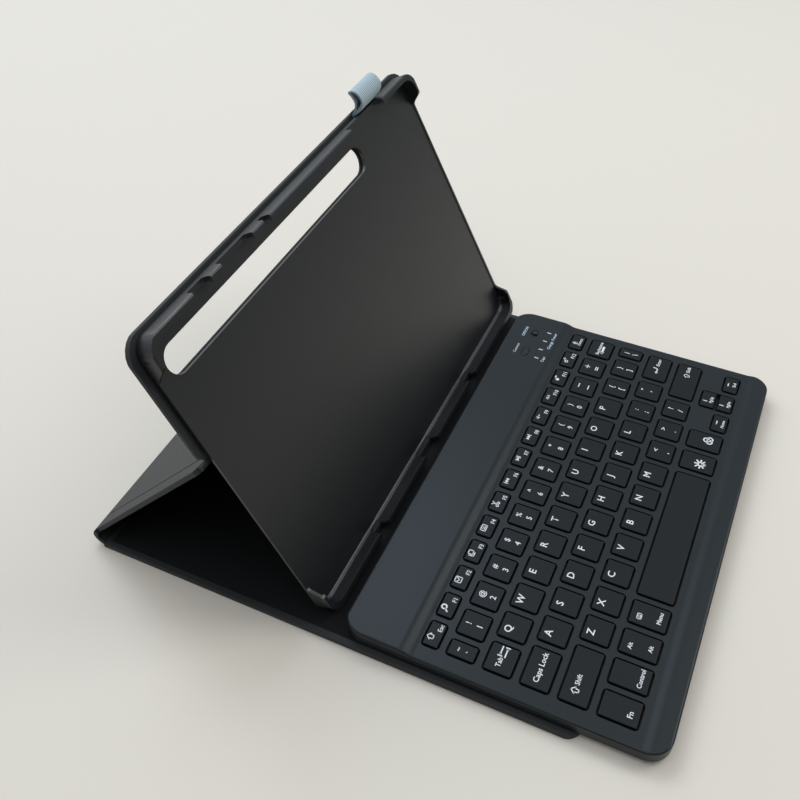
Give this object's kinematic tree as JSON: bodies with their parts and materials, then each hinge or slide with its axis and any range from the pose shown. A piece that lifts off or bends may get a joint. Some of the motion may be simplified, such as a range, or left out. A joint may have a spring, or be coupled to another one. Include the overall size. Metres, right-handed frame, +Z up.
{
  "type": "tablet keyboard case",
  "caption": "Folding leather-covered tablet cover with a moulded tray, a folding stand, an elastic pen loop and a thin removable wireless keyboard.",
  "frame": {"origin": "on the table, at the middle of the base's footprint under its flat underside", "axes": "+X to the right along the rows of keys, +Y to the rear from the user to the fold, +Z up"},
  "size_m": [0.2704, 0.3065, 0.1705],
  "materials": {
    "cover_leather": "fine grain",
    "stiffener_board": "raw board",
    "cover_lining": "soft microfibre",
    "magnet": "nickel",
    "tray_plastic": "matte",
    "adhesive": "film",
    "elastic_band": "ribbed elastic",
    "keyboard_case_paint": "satin",
    "keyboard_case_plastic": "matte",
    "steel": "plain",
    "rubber_part": "matte",
    "circuit_board_green": "solder mask",
    "battery_foil": "foil",
    "light_lens": "clear",
    "control_plastic": "matte",
    "keycap_plastic": "fine matte"
  },
  "bodies": {
    "cover_base": {"base_outer_leather": "cover_leather", "base_board": "stiffener_board", "base_lining": "cover_lining", "base_magnets": "magnet", "rear_fold_leather": "cover_leather"},
    "kickstand": {"kickstand_outer_leather": "cover_leather", "kickstand_board": "stiffener_board", "kickstand_lining": "cover_lining", "mid_fold_leather": "cover_leather"},
    "tray_and_back_panel": {"back_panel_leather": "cover_leather", "back_panel_board": "stiffener_board", "adhesive_sheet": "adhesive", "tablet_tray": "tray_plastic", "pen_loop": "elastic_band"},
    "keyboard": {"keyboard_top_case": "keyboard_case_paint", "keyboard_bottom_case": "keyboard_case_plastic", "key_support_plate": "steel", "rubber_dome_sheet": "rubber_part", "circuit_board": "circuit_board_green", "battery": "battery_foil", "keyboard_magnets": "magnet", "keyboard_feet": "rubber_part", "indicator_lenses": "light_lens", "charging_port": "steel", "case_screws": "steel", "switch_body": "keyboard_case_plastic"},
    "power_switch": {"power_switch_knob": "control_plastic"},
    "connect_button_cap": {"connect_button": "control_plastic"},
    "esc_key_cap": {"esc_key": "keycap_plastic"},
    "f1_to_f6_keys_caps": {"f1_to_f6_keys": "keycap_plastic"},
    "f7_to_f12_keys_caps": {"f7_to_f12_keys": "keycap_plastic"},
    "delete_key_cap": {"delete_key": "keycap_plastic"},
    "grave_key_cap": {"grave_key": "keycap_plastic"},
    "one_to_six_keys_caps": {"one_to_six_keys": "keycap_plastic"},
    "seven_to_equals_keys_caps": {"seven_to_equals_keys": "keycap_plastic"},
    "backspace_key_cap": {"backspace_key": "keycap_plastic"},
    "tab_key_cap": {"tab_key": "keycap_plastic"},
    "q_to_y_keys_caps": {"q_to_y_keys": "keycap_plastic"},
    "u_to_bracket_keys_caps": {"u_to_bracket_keys": "keycap_plastic"},
    "backslash_key_cap": {"backslash_key": "keycap_plastic"},
    "caps_lock_key_cap": {"caps_lock_key": "keycap_plastic"},
    "a_to_g_keys_caps": {"a_to_g_keys": "keycap_plastic"},
    "h_to_quote_keys_caps": {"h_to_quote_keys": "keycap_plastic"},
    "enter_key_cap": {"enter_key": "keycap_plastic"},
    "left_shift_key_cap": {"left_shift_key": "keycap_plastic"},
    "z_to_b_keys_caps": {"z_to_b_keys": "keycap_plastic"},
    "n_to_slash_keys_caps": {"n_to_slash_keys": "keycap_plastic"},
    "right_shift_key_cap": {"right_shift_key": "keycap_plastic"},
    "fn_key_cap": {"fn_key": "keycap_plastic"},
    "control_key_cap": {"control_key": "keycap_plastic"},
    "alt_key_cap": {"alt_key": "keycap_plastic"},
    "meta_key_cap": {"meta_key": "keycap_plastic"},
    "space_key_cap": {"space_key": "keycap_plastic"},
    "light_key_cap": {"light_key": "keycap_plastic"},
    "colour_key_cap": {"colour_key": "keycap_plastic"},
    "left_key_cap": {"left_key": "keycap_plastic"},
    "up_key_cap": {"up_key": "keycap_plastic"},
    "down_key_cap": {"down_key": "keycap_plastic"},
    "right_key_cap": {"right_key": "keycap_plastic"}
  },
  "joints": [
    {"name": "rear_fold", "type": "hinge", "parent": "cover_base", "child": "kickstand", "pos_m": [0, 0.128, 0.006], "axis": [-1, 0, 0], "range_deg": [0, 132.6], "deforming": ["rear_fold_leather"]},
    {"name": "mid_fold", "type": "hinge", "parent": "kickstand", "child": "tray_and_back_panel", "pos_m": [0.0054, 0.05134, 0.09788], "axis": [1, 0, 0], "range_deg": [0, 69.16], "deforming": ["mid_fold_leather"]},
    {"name": "keyboard_lift", "type": "slide", "parent": "cover_base", "child": "keyboard", "axis": [0, 0, 1], "range_m": [0, 0.12]},
    {"name": "power_switch_slide", "type": "slide", "parent": "keyboard", "child": "power_switch", "axis": [-1, 0, 0], "range_m": [0, 0.0025]},
    {"name": "connect_button_press", "type": "slide", "parent": "keyboard", "child": "connect_button_cap", "axis": [0, 0, -1], "range_m": [0, 0.0004], "stiffness_N_per_m": 800, "springref_m": -0.0005},
    {"name": "esc_key_press", "type": "slide", "parent": "keyboard", "child": "esc_key_cap", "axis": [0, 0, -1], "range_m": [0, 0.0015], "stiffness_N_per_m": 200, "springref_m": -0.001},
    {"name": "f1_to_f6_keys_press", "type": "slide", "parent": "keyboard", "child": "f1_to_f6_keys_caps", "axis": [0, 0, -1], "range_m": [0, 0.0015], "stiffness_N_per_m": 1200, "springref_m": -0.001},
    {"name": "f7_to_f12_keys_press", "type": "slide", "parent": "keyboard", "child": "f7_to_f12_keys_caps", "axis": [0, 0, -1], "range_m": [0, 0.0015], "stiffness_N_per_m": 1200, "springref_m": -0.001},
    {"name": "delete_key_press", "type": "slide", "parent": "keyboard", "child": "delete_key_cap", "axis": [0, 0, -1], "range_m": [0, 0.0015], "stiffness_N_per_m": 200, "springref_m": -0.001},
    {"name": "grave_key_press", "type": "slide", "parent": "keyboard", "child": "grave_key_cap", "axis": [0, 0, -1], "range_m": [0, 0.0015], "stiffness_N_per_m": 200, "springref_m": -0.001},
    {"name": "one_to_six_keys_press", "type": "slide", "parent": "keyboard", "child": "one_to_six_keys_caps", "axis": [0, 0, -1], "range_m": [0, 0.0015], "stiffness_N_per_m": 1200, "springref_m": -0.001},
    {"name": "seven_to_equals_keys_press", "type": "slide", "parent": "keyboard", "child": "seven_to_equals_keys_caps", "axis": [0, 0, -1], "range_m": [0, 0.0015], "stiffness_N_per_m": 1200, "springref_m": -0.001},
    {"name": "backspace_key_press", "type": "slide", "parent": "keyboard", "child": "backspace_key_cap", "axis": [0, 0, -1], "range_m": [0, 0.0015], "stiffness_N_per_m": 200, "springref_m": -0.001},
    {"name": "tab_key_press", "type": "slide", "parent": "keyboard", "child": "tab_key_cap", "axis": [0, 0, -1], "range_m": [0, 0.0015], "stiffness_N_per_m": 200, "springref_m": -0.001},
    {"name": "q_to_y_keys_press", "type": "slide", "parent": "keyboard", "child": "q_to_y_keys_caps", "axis": [0, 0, -1], "range_m": [0, 0.0015], "stiffness_N_per_m": 1200, "springref_m": -0.001},
    {"name": "u_to_bracket_keys_press", "type": "slide", "parent": "keyboard", "child": "u_to_bracket_keys_caps", "axis": [0, 0, -1], "range_m": [0, 0.0015], "stiffness_N_per_m": 1200, "springref_m": -0.001},
    {"name": "backslash_key_press", "type": "slide", "parent": "keyboard", "child": "backslash_key_cap", "axis": [0, 0, -1], "range_m": [0, 0.0015], "stiffness_N_per_m": 200, "springref_m": -0.001},
    {"name": "caps_lock_key_press", "type": "slide", "parent": "keyboard", "child": "caps_lock_key_cap", "axis": [0, 0, -1], "range_m": [0, 0.0015], "stiffness_N_per_m": 200, "springref_m": -0.001},
    {"name": "a_to_g_keys_press", "type": "slide", "parent": "keyboard", "child": "a_to_g_keys_caps", "axis": [0, 0, -1], "range_m": [0, 0.0015], "stiffness_N_per_m": 1000, "springref_m": -0.001},
    {"name": "h_to_quote_keys_press", "type": "slide", "parent": "keyboard", "child": "h_to_quote_keys_caps", "axis": [0, 0, -1], "range_m": [0, 0.0015], "stiffness_N_per_m": 1200, "springref_m": -0.001},
    {"name": "enter_key_press", "type": "slide", "parent": "keyboard", "child": "enter_key_cap", "axis": [0, 0, -1], "range_m": [0, 0.0015], "stiffness_N_per_m": 200, "springref_m": -0.001},
    {"name": "left_shift_key_press", "type": "slide", "parent": "keyboard", "child": "left_shift_key_cap", "axis": [0, 0, -1], "range_m": [0, 0.0015], "stiffness_N_per_m": 200, "springref_m": -0.001},
    {"name": "z_to_b_keys_press", "type": "slide", "parent": "keyboard", "child": "z_to_b_keys_caps", "axis": [0, 0, -1], "range_m": [0, 0.0015], "stiffness_N_per_m": 1000, "springref_m": -0.001},
    {"name": "n_to_slash_keys_press", "type": "slide", "parent": "keyboard", "child": "n_to_slash_keys_caps", "axis": [0, 0, -1], "range_m": [0, 0.0015], "stiffness_N_per_m": 1000, "springref_m": -0.001},
    {"name": "right_shift_key_press", "type": "slide", "parent": "keyboard", "child": "right_shift_key_cap", "axis": [0, 0, -1], "range_m": [0, 0.0015], "stiffness_N_per_m": 200, "springref_m": -0.001},
    {"name": "fn_key_press", "type": "slide", "parent": "keyboard", "child": "fn_key_cap", "axis": [0, 0, -1], "range_m": [0, 0.0015], "stiffness_N_per_m": 200, "springref_m": -0.001},
    {"name": "control_key_press", "type": "slide", "parent": "keyboard", "child": "control_key_cap", "axis": [0, 0, -1], "range_m": [0, 0.0015], "stiffness_N_per_m": 200, "springref_m": -0.001},
    {"name": "alt_key_press", "type": "slide", "parent": "keyboard", "child": "alt_key_cap", "axis": [0, 0, -1], "range_m": [0, 0.0015], "stiffness_N_per_m": 200, "springref_m": -0.001},
    {"name": "meta_key_press", "type": "slide", "parent": "keyboard", "child": "meta_key_cap", "axis": [0, 0, -1], "range_m": [0, 0.0015], "stiffness_N_per_m": 200, "springref_m": -0.001},
    {"name": "space_key_press", "type": "slide", "parent": "keyboard", "child": "space_key_cap", "axis": [0, 0, -1], "range_m": [0, 0.0015], "stiffness_N_per_m": 200, "springref_m": -0.001},
    {"name": "light_key_press", "type": "slide", "parent": "keyboard", "child": "light_key_cap", "axis": [0, 0, -1], "range_m": [0, 0.0015], "stiffness_N_per_m": 200, "springref_m": -0.001},
    {"name": "colour_key_press", "type": "slide", "parent": "keyboard", "child": "colour_key_cap", "axis": [0, 0, -1], "range_m": [0, 0.0015], "stiffness_N_per_m": 200, "springref_m": -0.001},
    {"name": "left_key_press", "type": "slide", "parent": "keyboard", "child": "left_key_cap", "axis": [0, 0, -1], "range_m": [0, 0.0015], "stiffness_N_per_m": 200, "springref_m": -0.001},
    {"name": "up_key_press", "type": "slide", "parent": "keyboard", "child": "up_key_cap", "axis": [0, 0, -1], "range_m": [0, 0.0015], "stiffness_N_per_m": 200, "springref_m": -0.001},
    {"name": "down_key_press", "type": "slide", "parent": "keyboard", "child": "down_key_cap", "axis": [0, 0, -1], "range_m": [0, 0.0015], "stiffness_N_per_m": 200, "springref_m": -0.001},
    {"name": "right_key_press", "type": "slide", "parent": "keyboard", "child": "right_key_cap", "axis": [0, 0, -1], "range_m": [0, 0.0015], "stiffness_N_per_m": 200, "springref_m": -0.001}
  ],
  "couplings": [
    {"joint": "mid_fold", "follows": "rear_fold", "ratio": 0.52153}
  ]
}
